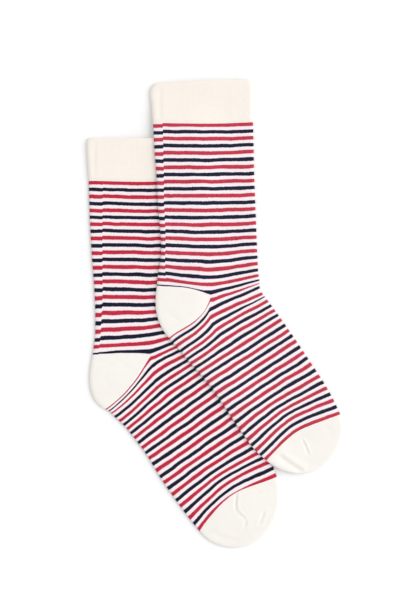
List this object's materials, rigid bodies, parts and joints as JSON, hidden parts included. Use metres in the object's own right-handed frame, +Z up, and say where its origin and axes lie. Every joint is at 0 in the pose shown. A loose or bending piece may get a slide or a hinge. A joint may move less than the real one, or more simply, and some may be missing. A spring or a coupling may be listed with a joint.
{
  "type": "pair of socks",
  "caption": "Pair of crew-length knitted socks laid flat with one lying partly on the other, with fine stripes and plain cuffs, heels and toes.",
  "frame": {"origin": "on the floor, under the middle of the pair's bounding box", "axes": "+Z up from the surface the socks lie on, +Y from the toes towards the cuffs along the legs, +X towards the side the toes point to"},
  "size_m": [0.231, 0.4209, 0.0066],
  "materials": {
    "cream_knit": "matte cream cotton knit, plain",
    "striped_knit": "matte cotton knit with red, cream and navy stripes"
  },
  "bodies": {
    "root": {"under_sock_cuff": "cream_knit", "under_sock_leg": "striped_knit", "under_sock_heel": "cream_knit", "under_sock_foot": "striped_knit", "under_sock_toe": "cream_knit", "upper_sock_cuff": "cream_knit", "upper_sock_leg": "striped_knit", "upper_sock_heel": "cream_knit", "upper_sock_foot": "striped_knit", "upper_sock_toe": "cream_knit"}
  },
  "joints": []
}
